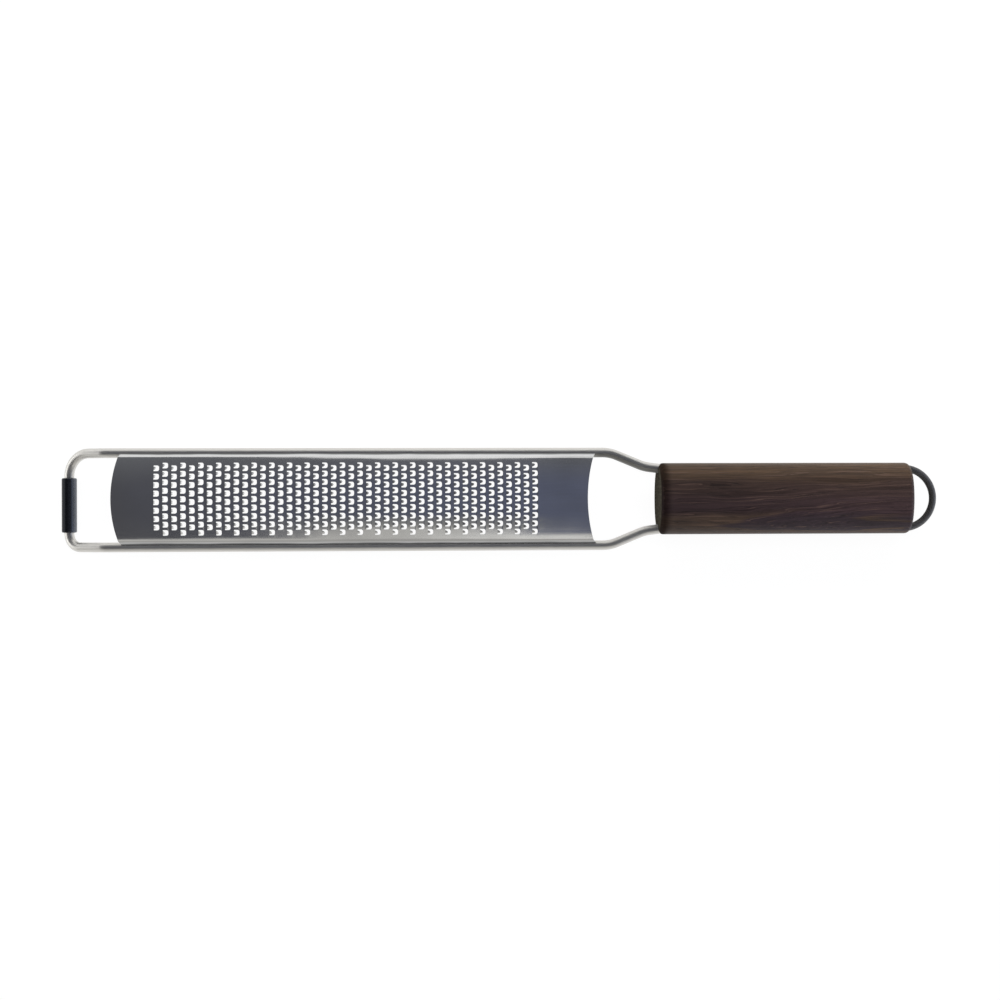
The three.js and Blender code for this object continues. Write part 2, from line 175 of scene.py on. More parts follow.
def add_piece(name, points, faces, node, material):
    """A smooth-shaded mesh object in metres that stands for one CAD node."""
    mesh = bpy.data.meshes.new(name)
    mesh.from_pydata([Vector(p) * MM for p in points], [], faces)
    work = bmesh.new()
    work.from_mesh(mesh)
    bmesh.ops.recalc_face_normals(work, faces=work.faces)
    work.to_mesh(mesh)
    work.free()
    piece = add_object(name, mesh)
    finish_shading(piece)
    mesh.materials.append(material)
    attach(piece, "root")
    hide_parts(node)
    return piece


def finish_shading(piece):
    """Smooth faces, with a crease where the surface turns sharply."""
    piece.data.shade_smooth()
    piece.data.set_sharp_from_angle(angle=SHARP_ANGLE)


def bent_line(corners):
    """Points along straight runs with a round bend at each inner corner: corners are (point, radius)."""
    points = [corners[0][0]]
    for (before, _), (corner, radius), (after, _) in zip(corners, corners[1:], corners[2:]):
        heading = (corner - before).normalized()
        leaving = (after - corner).normalized()
        turn = heading.angle(leaving)
        axis = heading.cross(leaving).normalized()
        inward = axis.cross(heading) * radius
        centre = corner - heading * radius * math.tan(turn / 2) + inward
        steps = math.ceil(turn / BEND_STEP)
        for step in range(steps + 1):
            points.append(centre - Matrix.Rotation(turn * step / steps, 3, axis) @ inward)
    points.append(corners[-1][0])
    return [p for i, p in enumerate(points) if i == 0 or (p - points[i - 1]).length > SAME_POINT]


def swept_rod(line, radius):
    """Points and faces of a round rod along a line, with flat ends."""
    tangents = []
    for i in range(len(line)):
        ahead = line[min(i + 1, len(line) - 1)] - line[i]
        behind = line[i] - line[max(i - 1, 0)]
        tangents.append((ahead.normalized() + behind.normalized()).normalized())
    spoke = Vector((0, 0, 1)).cross(tangents[0]).normalized()
    points = []
    for i, centre in enumerate(line):
        if i:
            spoke = tangents[i - 1].rotation_difference(tangents[i]) @ spoke
        for side in range(ROD_SIDES):
            turn = Matrix.Rotation(FULL_TURN * side / ROD_SIDES, 3, tangents[i])
            points.append(centre + turn @ spoke * radius)
    return points, tube_faces(len(line), ROD_SIDES)


def tube_faces(rings, sides):
    """Quads between rings of points, and a flat face on each end."""
    faces = [ring_face(i, i + 1, side, sides) for i in range(rings - 1) for side in range(sides)]
    last = (rings - 1) * sides
    faces.append(tuple(range(sides)))
    faces.append(tuple(range(last, last + sides)))
    return faces


def ring_face(ring, next_ring, side, sides):
    """The quad at one side between two rings of points."""
    here, there = ring * sides, next_ring * sides
    following = (side + 1) % sides
    return (here + side, here + following, there + following, there + side)


# Node helpers


NOISE_RANGE = (0.3, 0.7)             # most of a noise lies between these
WIDE_RANGE = (0.2, 0.8)              # and nearly all of it between these


class Nodes:
    """Builds one node tree. Inputs are values or the output sockets of other nodes."""

    def __init__(self, tree):
        self.tree = tree
        tree.nodes.clear()

    def add(self, kind, inputs=None, **settings):
        node = self.tree.nodes.new(kind)
        for name, value in settings.items():
            setattr(node, name, value)
        self.fill(node, inputs or {})
        return node

    def fill(self, node, inputs):
        for key, value in inputs.items():
            self.feed(node.inputs[key], value)

    def feed(self, socket, value):
        if isinstance(value, bpy.types.NodeSocket):
            self.tree.links.new(value, socket)
        else:
            socket.default_value = value

    def place(self):
        """The object's own coordinates, in metres."""
        return self.add("ShaderNodeTexCoord").outputs["Object"]

    def axes(self, vector):
        """The three parts of a vector, by the names X, Y and Z."""
        return self.add("ShaderNodeSeparateXYZ", {"Vector": vector}).outputs

    def math(self, operation, *values):
        inputs = dict(enumerate(values))
        return self.add("ShaderNodeMath", inputs, operation=operation).outputs[0]

    def total(self, first, *others):
        for other in others:
            first = self.math("ADD", first, other)
        return first

    def span(self, value, low, high, to_low=0.0, to_high=1.0, smooth=True):
        """The value's place between low and high, as a number from to_low to to_high."""
        inputs = {"Value": value, "From Min": low, "From Max": high, "To Min": to_low, "To Max": to_high}
        kind = "SMOOTHSTEP" if smooth else "LINEAR"
        return self.add("ShaderNodeMapRange", inputs, interpolation_type=kind).outputs["Result"]

    def vary(self, noise, low, high):
        """A number that runs from low to high with a noise."""
        return self.span(noise, *NOISE_RANGE, low, high)

    def mix(self, share, first, second, blend="MIX"):
        node = self.add("ShaderNodeMix", data_type="RGBA", blend_type=blend)
        self.feed(node.inputs["Factor"], share)
        self.feed(node.inputs["A"], first)
        self.feed(node.inputs["B"], second)
        return node.outputs["Result"]

    def shade(self, colour, factor):
        """A colour times a number."""
        return self.mix(1.0, colour, factor, "MULTIPLY")

    def cover(self, colour, coat, share, strength):
        """A colour under a coat, whose share of full strength is given."""
        return self.mix(self.math("MULTIPLY", share, strength), colour, coat)

    def ramp(self, value, stops):
        node = self.add("ShaderNodeValToRGB", {"Fac": value})
        elements = node.color_ramp.elements
        while len(elements) < len(stops):
            elements.new(0.5)
        for element, (place, colour) in zip(elements, stops):
            element.position = place
            element.color = colour
        return node.outputs["Color"]

    def tones(self, noise, colours):
        """A colour that runs between two with a noise."""
        return self.ramp(noise, list(zip(NOISE_RANGE, colours)))

    def noise(self, cells, detail, roughness, place=None):
        """Noise with a number of cells to the metre along X, Y and Z, at a place or else the object's own."""
        if place is None:
            place = self.place()
        vector = self.add("ShaderNodeMapping", {"Vector": place, "Scale": cells}).outputs["Vector"]
        inputs = {"Vector": vector, "Scale": 1.0, "Detail": detail, "Roughness": roughness}
        return self.add("ShaderNodeTexNoise", inputs).outputs["Fac"]

    def bump(self, height, distance, normal=None):
        node = self.add("ShaderNodeBump", {"Height": height, "Distance": distance, "Strength": 1.0})
        if normal is not None:
            self.feed(node.inputs["Normal"], normal)
        return node.outputs["Normal"]


def grey(level):
    return (level, level, level, 1)


def srgb(red, green, blue):
    """A colour given in the 0 to 255 values of a picture."""
    def linear(value):
        share = value / 255
        return share / 12.92 if share <= 0.04045 else ((share + 0.055) / 1.055) ** 2.4
    return (linear(red), linear(green), linear(blue), 1)


def surface_material(name):
    """A new material, its node builder and its principled shader."""
    material = bpy.data.materials.new(name)
    material.use_nodes = True
    nodes = Nodes(material.node_tree)
    shader = nodes.add("ShaderNodeBsdfPrincipled")
    nodes.add("ShaderNodeOutputMaterial", {"Surface": shader.outputs["BSDF"]})
    return material, nodes, shader


# Steel: a noise is its cells to the metre along X, Y and Z, its detail and its roughness


WIRE_LINES = ((120, 2600, 2600), 3.0, 0.6)
WIRE_PATCHES = ((90, 90, 90), 3.0, 0.5)
WIRE_TINTS = (0.94, 1.0)
LINE_ROUGHNESS = 0.03                # the lines and the patches make the gloss vary by this much
PATCH_ROUGHNESS = 0.02
CREVICE_SHADE_REACH = 0.0007               # painted shade darkens a wire this close to what it is joined to
CREVICE_SHADE_SAMPLES = 8
CREVICE_SHADE_RANGE = (0.25, 0.8)          # open share of what lies round a point
CREVICE_SHADE_TINTS = (0.25, 1.0)
ROD_COLOUR = (0.7, 0.685, 0.65, 1)
ROD_ROUGHNESS = 0.4
ROD_GRAIN = 0.000003                 # depth of the lines
# the loop is coloured darker than the rod as painted shade on the same drawn steel
LOOP_SHADED_COLOUR = (0.205, 0.2, 0.195, 1)
LOOP_ROUGHNESS = 0.66
LOOP_GRAIN = 0.000004


def rod_steel(name, colour, roughness, grain, dark_reflection=None):
    """Drawn steel: fine lines along the wire show in the gloss, with painted shade where it is joined to
    other parts and, where given, a painted dark reflection.
    """
    material, nodes, shader = surface_material(name)
    lines = nodes.noise(*WIRE_LINES)
    patches = nodes.noise(*WIRE_PATCHES)
    line_gloss = nodes.vary(lines, -LINE_ROUGHNESS, LINE_ROUGHNESS)
    patch_gloss = nodes.vary(patches, -PATCH_ROUGHNESS, PATCH_ROUGHNESS)
    around = {"Distance": CREVICE_SHADE_REACH}
    # painted shade: the wire is darker where little is open round it, next to what it is joined to
    crevice_shade = nodes.add("ShaderNodeAmbientOcclusion", around, samples=CREVICE_SHADE_SAMPLES).outputs["AO"]
    tint = nodes.span(patches, *WIDE_RANGE, *WIRE_TINTS)
    tint = nodes.math("MULTIPLY", tint, nodes.span(crevice_shade, *CREVICE_SHADE_RANGE, *CREVICE_SHADE_TINTS))
    # a darker colour for a painted dark reflection, where one is given
    if dark_reflection:
        tint = nodes.math("MULTIPLY", tint, dark_reflection(nodes))
    nodes.fill(shader, {
        "Metallic": 1,
        "Roughness": nodes.total(roughness, line_gloss, patch_gloss),
        "Base Color": nodes.shade(colour, tint),
        "Normal": nodes.bump(lines, grain),
    })
    return material


# Painted dark reflection: the inner sides of the neck are coloured darker
DARK_REFLECTION_SIDES = (0.003, -0.009)        # Y times the normal's Y, which is below 0 on a wire's inner side
DARK_REFLECTION_START = 0.008                  # in front of the handle, on the -Y wire
DARK_REFLECTION_FADE = 0.009
DARK_REFLECTION_LEAD = 0.025                   # the painted dark reflection starts this much further out on the +Y wire
DARK_REFLECTION_MIDDLE = (-0.001, 0.001)       # Y that parts the two wires
DARK_REFLECTION_TINT = 0.3


def neck_dark_reflection(nodes):
    """Painted dark reflection on the inner sides of the neck, which reaches further out along the +Y wire."""
    axes = nodes.axes(nodes.place())
    normal = nodes.axes(nodes.add("ShaderNodeNewGeometry").outputs["Normal"])
    inner = nodes.span(nodes.math("MULTIPLY", normal["Y"], axes["Y"]), *DARK_REFLECTION_SIDES)
    reach = nodes.math("ADD", axes["X"], nodes.span(axes["Y"], *DARK_REFLECTION_MIDDLE, 0.0, DARK_REFLECTION_LEAD))
    start = HANDLE_LOW.x * MM - DARK_REFLECTION_START
    dark_reflection = nodes.math("MULTIPLY", inner, nodes.span(reach, start, start + DARK_REFLECTION_FADE))
    return nodes.span(dark_reflection, 0.0, 1.0, 1.0, DARK_REFLECTION_TINT, smooth=False)


SHEET_LINES = ((60, 3000, 3000), 3.0, 0.65)
SHEET_LINE_DEPTH = 0.000003
SHEET_ROUGHNESS = (0.09, 0.13)
SHEET_CLOUDS = ((55, 80, 80), 2.0, 0.5)
SHEET_TONES = (grey(0.57), grey(0.63))
SHEET_WAVES = ((24, 30, 30), 1.0, 0.5)
SHEET_WAVE_DEPTH = 0.0004
# Painted shade: a dark line along the blade's edges, in the crevice where they meet the rails
CREVICE_EDGE_WANDER = ((30, 0, 0), 3.0, 0.5)
CREVICE_EDGE_UNEVEN = 0.0002
CREVICE_EDGE_DEPTHS = (0.0001, 0.00075)      # in from the blade's edge
CREVICE_EDGE_TINTS = (0.25, 1.0)


def blade_steel():
    """Rolled steel sheet: faint lines along the blade, a soft waviness left by the welding, and painted shade
    along both edges.
    """
    material, nodes, shader = surface_material("etched_steel_sheet")
    lines = nodes.noise(*SHEET_LINES)
    colour = nodes.tones(nodes.noise(*SHEET_CLOUDS), SHEET_TONES)
    waves = nodes.bump(nodes.noise(*SHEET_WAVES), SHEET_WAVE_DEPTH)
    nodes.fill(shader, {
        "Metallic": 1,
        "Roughness": nodes.vary(lines, *SHEET_ROUGHNESS),
        "Base Color": nodes.shade(colour, edge_crevice_shade(nodes)),
        "Normal": nodes.bump(lines, SHEET_LINE_DEPTH, waves),
    })
    return material


def edge_crevice_shade(nodes):
    """Painted shade: a dark, uneven line along both edges of the blade, where they meet the rails."""
    y = nodes.axes(nodes.place())["Y"]
    low, high = BLADE_LOW.y * MM, BLADE_HIGH.y * MM
    depth = nodes.math("MINIMUM", nodes.math("SUBTRACT", high, y), nodes.math("SUBTRACT", y, low))
    uneven = nodes.vary(nodes.noise(*CREVICE_EDGE_WANDER), -CREVICE_EDGE_UNEVEN, CREVICE_EDGE_UNEVEN)
    return nodes.span(nodes.math("ADD", depth, uneven), *CREVICE_EDGE_DEPTHS, *CREVICE_EDGE_TINTS)


# Oak, with noises as in the steel


OAK_WANDER = ((22, 240, 240), 3.0, 0.5)
WANDER_REACH = 0.002                 # the colour bands wander by this much
CLIMB_ALONG = (0.095, 0.16)          # X where the grain starts to climb, and where it has climbed
CLIMB_ACROSS = (0.009, -0.004)       # and Y
GRAIN_RISE = 0.008                   # the grain climbs by this much past the flame
OAK_FIBRES = ((16, 1000, 1000), 4.0, 0.62)
OAK_THREADS = ((30, 2600, 2600), 3.0, 0.6)
FIBRE_RANGE = (0.28, 0.72)
FIBRE_TINTS = (0.6, 1.42)
THREAD_TINTS = (0.72, 1.26)
OAK_LIGHTS = ((22, 1500, 1500), 2.0, 0.5)
LIGHT_RANGE = (0.58, 0.7)
LIGHT_COLOUR = srgb(104, 82, 72)
LIGHT_STRENGTH = 0.4
OAK_PORES = ((60, 2000, 2000), 2.0, 0.5)
PORE_RANGE = (0.58, 0.68)
PORE_COLOUR = srgb(22, 16, 16)
PORE_STRENGTH = 0.55
LENGTH_TINTS = (0.9, 1.24)           # at the handle's front and rear
# Painted shade on the handle's rounded front edge
EDGE_SHADE_END = 0.0055                    # the dark front edge ends this far behind the front,
EDGE_SHADE_FULL = 0.0012                   # and is full up to here
EDGE_SHADE_COLOUR = srgb(16, 11, 10)
EDGE_SHADE_STRENGTH = 0.7
GLOSS_RANGE = (0.25, 0.75)
OAK_ROUGHNESS = (0.44, 0.58)
OAK_DEPTH = 0.00006                  # of fibres and pores
OAK_SHEEN = 0.18
OAK_COAT = 0.08
OAK_COAT_ROUGHNESS = 0.3
COAT_END = 0.5                       # share of an end face at which the coat ends


def smoked_oak():
    """Dark open-grained wood: colour bands, a flame figure low on the upper side, fibres and pores, and
    painted shade on the rounded front edge.
    """
    material, nodes, shader = surface_material("smoked_oak_wood")
    axes = nodes.axes(nodes.place())
    wander = nodes.span(nodes.noise(*OAK_WANDER), *WIDE_RANGE, -WANDER_REACH, WANDER_REACH, smooth=False)
    across = nodes.math("ADD", axes["Y"], wander)
    grain = grain_place(nodes, axes, across)
    fibres = nodes.noise(*OAK_FIBRES, grain)
    threads = nodes.noise(*OAK_THREADS, grain)
    lights = nodes.span(nodes.noise(*OAK_LIGHTS, grain), *LIGHT_RANGE)
    pores = nodes.span(nodes.noise(*OAK_PORES, grain), *PORE_RANGE)

    colour = oak_bands(nodes, axes["X"], across)
    colour = nodes.shade(colour, nodes.span(fibres, *FIBRE_RANGE, *FIBRE_TINTS, smooth=False))
    colour = nodes.shade(colour, nodes.span(threads, *FIBRE_RANGE, *THREAD_TINTS, smooth=False))
    colour = nodes.cover(colour, LIGHT_COLOUR, lights, LIGHT_STRENGTH)
    colour = nodes.cover(colour, PORE_COLOUR, pores, PORE_STRENGTH)
    front, rear = HANDLE_LOW.x * MM, HANDLE_HIGH.x * MM
    colour = nodes.shade(colour, nodes.span(axes["X"], front, rear, *LENGTH_TINTS))
    # painted shade on the rounded front edge, which also takes away its sheen
    edge = nodes.span(axes["X"], front + EDGE_SHADE_END, front + EDGE_SHADE_FULL)
    edge = nodes.math("MULTIPLY", edge, EDGE_SHADE_STRENGTH)
    colour = nodes.mix(edge, colour, EDGE_SHADE_COLOUR)

    cut = end_faces(nodes)
    dull = nodes.math("ADD", cut, edge)
    height = nodes.math("SUBTRACT", nodes.math("ADD", fibres, threads), pores)
    nodes.fill(shader, {
        "Base Color": nodes.mix(cut, colour, end_grain(nodes)),
        "Roughness": nodes.span(fibres, *GLOSS_RANGE, *OAK_ROUGHNESS),
        "Normal": nodes.bump(height, OAK_DEPTH),
        "Specular IOR Level": nodes.span(dull, 0.0, EDGE_SHADE_STRENGTH, OAK_SHEEN, 0.0),
        "Coat Weight": nodes.span(cut, 0.0, COAT_END, OAK_COAT, 0.0),
        "Coat Roughness": OAK_COAT_ROUGHNESS,
    })
    return material


def grain_place(nodes, axes, across):
    """Coordinates in which the grain runs straight: past the flame it climbs across the handle."""
    climb = nodes.math(
        "MULTIPLY", nodes.span(axes["X"], *CLIMB_ALONG), nodes.span(axes["Y"], *CLIMB_ACROSS),
    )
    level = nodes.math("SUBTRACT", across, nodes.math("MULTIPLY", climb, GRAIN_RISE))
    parts = {"X": axes["X"], "Y": level, "Z": axes["Z"]}
    return nodes.add("ShaderNodeCombineXYZ", parts).outputs["Vector"]


BAND_LIMITS = (-0.015, 0.015)        # from the handle's -Y side to its +Y side
BAND_COLOURS = [
    (0.0, srgb(54, 43, 43)), (0.3, srgb(54, 41, 43)), (0.5, srgb(51, 38, 38)),
    (0.7, srgb(52, 39, 34)), (0.82, srgb(60, 45, 33)), (1.0, srgb(72, 54, 37)),
]
FLAME_TIP = (0.0906, -0.0108)        # X and Y of the first arch's point
FLAME_SLOPE = 0.04
FLAME_TIGHTNESS = 2800
FLAME_LIMITS = (-0.03, 0.09)
FLAME_COLOURS = [
    (0.0, srgb(70, 55, 45)), (0.2, srgb(77, 60, 48)), (0.26, srgb(49, 38, 43)),
    (0.68, srgb(47, 38, 43)), (0.74, srgb(69, 54, 44)), (0.86, srgb(48, 38, 42)),
]
FLAME_ACROSS = (-0.0045, -0.0085)    # Y where the flame starts to show, and where it shows fully
FLAME_STRENGTH = 0.85


def oak_bands(nodes, along, across):
    """Colours from side to side, with olive sapwood round a purple heart where the rings are cut."""
    bands = nodes.ramp(nodes.span(across, *BAND_LIMITS, smooth=False), BAND_COLOURS)
    field = flame_field(nodes, along, across)
    flame = nodes.ramp(nodes.span(field, *FLAME_LIMITS, smooth=False), FLAME_COLOURS)
    return nodes.cover(bands, flame, nodes.span(across, *FLAME_ACROSS), FLAME_STRENGTH)


def flame_field(nodes, along, across):
    """Nested arches of the growth rings, which point to the nose: above 0 inside the first arch."""
    reach = nodes.math("SUBTRACT", along, FLAME_TIP[0])
    axis = nodes.math("ADD", nodes.math("MULTIPLY", reach, FLAME_SLOPE), FLAME_TIP[1])
    spread = nodes.math("POWER", nodes.math("ABSOLUTE", nodes.math("SUBTRACT", across, axis)), 2.0)
    return nodes.math("SUBTRACT", reach, nodes.math("MULTIPLY", spread, FLAME_TIGHTNESS))


END_LEAN = (0.86, 0.97)              # share of X in the normal
END_RINGS = ((0, 900, 260), 3.0, 0.5)
END_TONES = (srgb(62, 59, 52), srgb(80, 76, 66))
END_PORES = ((0, 2600, 2600), 2.0, 0.5)
END_PORE_RANGE = (0.56, 0.66)
END_PORE_COLOUR = srgb(34, 30, 27)
END_PORE_STRENGTH = 0.6


def end_faces(nodes):
    """1 on the flat faces at the handle's two ends, and 0 round the rest of it."""
    normal = nodes.axes(nodes.add("ShaderNodeNewGeometry").outputs["True Normal"])
    return nodes.span(nodes.math("ABSOLUTE", normal["X"]), *END_LEAN)


def end_grain(nodes):
    """Dull end grain with rings and open pores."""
    colour = nodes.tones(nodes.noise(*END_RINGS), END_TONES)
    pores = nodes.span(nodes.noise(*END_PORES), *END_PORE_RANGE)
    return nodes.cover(colour, END_PORE_COLOUR, pores, END_PORE_STRENGTH)


# Rubber, with noises as in the steel


RUBBER_SPECKS = ((900, 900, 900), 4.0, 0.6)
RUBBER_TONES = ((0.003, 0.0034, 0.0045, 1), (0.0046, 0.0052, 0.007, 1))
RUBBER_ROUGHNESS = (0.22, 0.32)
RUBBER_DEPTH = 0.000006
RUBBER_IOR = 1.7
RUBBER_SHEEN = (0.8, 0.87, 1.0, 1)
RUBBED_START = -0.0008               # along the tool from the crossbar's axis
RUBBED_END = 0.0016
RUBBED_LEVELS = (0.1, 1.0)


def black_rubber():
    """Rubber that is dull outside and rubbed glossy on the side that a bowl's rim touches."""
    material, nodes, shader = surface_material("black_rubber_skin")
    specks = nodes.noise(*RUBBER_SPECKS)
    along = nodes.axes(nodes.place())["X"]
    middle = CROSSBAR_X * MM
    nodes.fill(shader, {
        "Specular IOR Level": nodes.span(along, middle + RUBBED_START, middle + RUBBED_END, *RUBBED_LEVELS),
        "Specular Tint": RUBBER_SHEEN,
        "IOR": RUBBER_IOR,
        "Base Color": nodes.tones(specks, RUBBER_TONES),
        "Roughness": nodes.vary(specks, *RUBBER_ROUGHNESS),
        "Normal": nodes.bump(specks, RUBBER_DEPTH),
    })
    return material


# Frame rod and hanging loop


def leg_y(x):
    """The leg's distance from the middle line, where the rod runs into the handle."""
    mouth_x = HANDLE_LOW.x + HANDLE_ROUNDING
    mouth_y = HANDLE_WIDTH / 2 - LEG_WALL - (ROD_RADIUS + BOND_GAP) / math.cos(LEG_TOE)
    return mouth_y - (x - mouth_x) * math.tan(LEG_TOE)


def rod_half(side, nose_radius):
    """Corners from the leg's end in the handle to the corner of the nose."""
    end_x = HANDLE_LOW.x + LEG_DEPTH
    bend_x = HANDLE_LOW.x - LEG_RUN
    return [
        (Vector((end_x, side * leg_y(end_x), RAIL_Z)), 0),
        (Vector((bend_x, side * leg_y(bend_x), RAIL_Z)), NECK_RADIUS),
        (Vector((NECK_X, side * RAIL_Y, RAIL_Z)), NECK_RADIUS),
        (Vector((KINK_X, side * RAIL_Y, RAIL_Z)), NOSE_KINK_RADIUS),
        (Vector((CROSSBAR_X, side * RAIL_Y, CROSSBAR_Z)), nose_radius),
    ]


def make_frame_rod():
    corners = rod_half(1, NOSE_WIDE_RADIUS) + rod_half(-1, NOSE_TIGHT_RADIUS)[::-1]
    points, faces = swept_rod(bent_line(corners), ROD_RADIUS)
    steel = rod_steel("polished_steel_rod", ROD_COLOUR, ROD_ROUGHNESS, ROD_GRAIN, neck_dark_reflection)
    add_piece("steel_frame_rod", points, faces, "frame_wire", steel)


def make_hanging_loop():
    end_x = HANDLE_HIGH.x - LOOP_DEPTH
    crown_x = LOOP_HIGH.x - LOOP_WIRE_RADIUS
    corners = [
        (Vector((end_x, LOOP_RADIUS, RAIL_Z)), 0),
        (Vector((crown_x, LOOP_RADIUS, RAIL_Z)), LOOP_RADIUS),
        (Vector((crown_x, -LOOP_RADIUS, RAIL_Z)), LOOP_RADIUS),
        (Vector((end_x, -LOOP_RADIUS, RAIL_Z)), 0),
    ]
    points, faces = swept_rod(bent_line(corners), LOOP_WIRE_RADIUS)
    # painted shade: a darker copy of the rod's steel
    steel = rod_steel("drawn_wire_painted_shade", LOOP_SHADED_COLOUR, LOOP_ROUGHNESS, LOOP_GRAIN)
    add_piece("steel_hanging_loop", points, faces, "hanging_loop", steel)


# Handle


def handle_section(angle, inset):
    """A point of the handle's superellipse, moved in along its normal."""
    power = 2 / HANDLE_FULLNESS
    half_width = HANDLE_WIDTH / 2
    half_height = HANDLE_THICKNESS / 2
    cos, sin = math.cos(angle), math.sin(angle)
    y = half_width * math.copysign(abs(cos) ** power, cos)
    z = half_height * math.copysign(abs(sin) ** power, sin)
    slope = HANDLE_FULLNESS - 1
    normal = Vector((
        math.copysign(abs(y / half_width) ** slope / half_width, y),
        math.copysign(abs(z / half_height) ** slope / half_height, z),
    )).normalized()
    return y - inset * normal.x, RAIL_Z + z - inset * normal.y


def handle_stations():
    """(x, inset) of each ring, from the front face over both rounded edges to the rear face."""
    front = []
    for step in range(ROUNDING_STEPS, -1, -1):
        angle = QUARTER_TURN * step / ROUNDING_STEPS
        x = HANDLE_LOW.x + HANDLE_ROUNDING * (1 - math.sin(angle))
        front.append((x, HANDLE_ROUNDING * (1 - math.cos(angle))))
    return front + [(HANDLE_LOW.x + HANDLE_HIGH.x - x, inset) for x, inset in reversed(front)]


def make_handle(material):
    points = []
    stations = handle_stations()
    for x, inset in stations:
        for side in range(HANDLE_SIDES):
            points.append((x, *handle_section(FULL_TURN * (side + 0.5) / HANDLE_SIDES, inset)))
    faces = tube_faces(len(stations), HANDLE_SIDES)
    handle = add_piece("oak_handle", points, faces, "handle", material)
    for bore in handle_bores():
        cut_bore(handle, *bore)
    finish_shading(handle)


def handle_bores():
    """(start, end, radius) of the two leg bores and the two loop bores."""
    leg_in = HANDLE_LOW.x - BORE_OVERRUN
    leg_end = HANDLE_LOW.x + LEG_DEPTH + BORE_END_GAP
    loop_in = HANDLE_HIGH.x + BORE_OVERRUN
    loop_end = HANDLE_HIGH.x - LOOP_DEPTH - BORE_END_GAP
    for side in (1, -1):
        yield (
            Vector((leg_in, side * leg_y(leg_in), RAIL_Z)),
            Vector((leg_end, side * leg_y(leg_end), RAIL_Z)),
            ROD_RADIUS + BOND_GAP,
        )
        yield (
            Vector((loop_in, side * LOOP_RADIUS, RAIL_Z)),
            Vector((loop_end, side * LOOP_RADIUS, RAIL_Z)),
            LOOP_WIRE_RADIUS + LOOP_BOND_GAP,
        )


def bore_cutter(start, end, radius):
    """A cylinder from one point to another."""
    axis = end - start
    work = bmesh.new()
    bmesh.ops.create_cone(
        work, cap_ends=True, segments=BORE_SIDES, radius1=radius * MM, radius2=radius * MM,
        depth=axis.length * MM,
    )
    mesh = bpy.data.meshes.new("bore")
    work.to_mesh(mesh)
    work.free()
    cutter = add_object("bore", mesh)
    place = Matrix.Translation((start + end) / 2 * MM)
    cutter.matrix_world = place @ axis.to_track_quat("Z", "Y").to_matrix().to_4x4()
    return cutter


def cut_bore(handle, start, end, radius):
    cutter = bore_cutter(start, end, radius)
    cut = handle.modifiers.new("bore", "BOOLEAN")
    cut.object = cutter
    cut.operation = "DIFFERENCE"
    cut.solver = "EXACT"
    bpy.context.view_layer.update()
    shaped = handle.evaluated_get(bpy.context.evaluated_depsgraph_get())
    handle.data = bpy.data.meshes.new_from_object(shaped)
    handle.modifiers.clear()
    bpy.data.objects.remove(cutter)


# Nose sleeve


def make_sleeve(material):
    radius = (SLEEVE_HIGH.z - SLEEVE_LOW.z) / 2
    bore = ROD_RADIUS + SLEEVE_FIT_GAP
    low_edge = [(bore, 0)]
    for step in range(SLEEVE_EDGE_STEPS + 1):
        angle = QUARTER_TURN * step / SLEEVE_EDGE_STEPS
        low_edge.append((radius - SLEEVE_EDGE * (1 - math.sin(angle)), SLEEVE_EDGE * (1 - math.cos(angle))))
    profile = [(reach, SLEEVE_LOW.y + y) for reach, y in low_edge]
    profile += [(reach, SLEEVE_HIGH.y - y) for reach, y in reversed(low_edge)]
    points = []
    for reach, y in profile:
        for side in range(SLEEVE_SIDES):
            angle = FULL_TURN * side / SLEEVE_SIDES
            points.append((CROSSBAR_X + reach * math.cos(angle), y, CROSSBAR_Z + reach * math.sin(angle)))
    count = len(profile)
    rings = [(i, (i + 1) % count) for i in range(count)]
    faces = [ring_face(*pair, side, SLEEVE_SIDES) for pair in rings for side in range(SLEEVE_SIDES)]
    add_piece("rubber_nose_sleeve", points, faces, "nose_sleeve", material)


# Blade


def edge_seat(side):
    """Where one edge of the blade stands on its rail, across the tool."""
    inset = EDGE_INSET - side * BLADE_OFFSET
    return Vector((side * (RAIL_Y - inset), RAIL_Z + math.sqrt((ROD_RADIUS + WELD_GAP) ** 2 - inset ** 2)))


# The section in the blade's own frame, halfway between the two seats: an arch, a rounded bend at each end
# of it, and a flat flange that slopes down to the edge
BLADE_ORIGIN = (edge_seat(-1) + edge_seat(1)) / 2
BLADE_ACROSS = edge_seat(1) - BLADE_ORIGIN
BEND_Y = BLADE_ACROSS.length - FLANGE_WIDTH * math.cos(FLANGE_TILT)
ARCH_RADIUS = (BEND_Y ** 2 + BLADE_RISE ** 2) / (2 * BLADE_RISE)
CROWN_Z = FLANGE_WIDTH * math.sin(FLANGE_TILT) + BLADE_RISE
BODY_GIRTH = ARCH_RADIUS * math.asin(BEND_Y / ARCH_RADIUS)
HALF_GIRTH = BODY_GIRTH + FLANGE_WIDTH
BEND_START = BODY_GIRTH - BEND_LENGTH / 2
BEND_CURL = (FLANGE_TILT - BEND_START / ARCH_RADIUS) / BEND_LENGTH
SECTION_RUNS = ((BEND_START, 1 / ARCH_RADIUS), (BEND_LENGTH, BEND_CURL), (HALF_GIRTH, 0))
BEND_PLACES = [BEND_START + BEND_LENGTH * i / BEND_STEPS for i in range(BEND_STEPS + 1)]
BLADE_FRONT_X = BLADE_LOW.x
BLADE_REAR_X = BLADE_HIGH.x - BLADE_END_BOW - FLANGE_CLIP
BOW_RADIUS = (BODY_GIRTH ** 2 + BLADE_END_BOW ** 2) / (2 * BLADE_END_BOW)


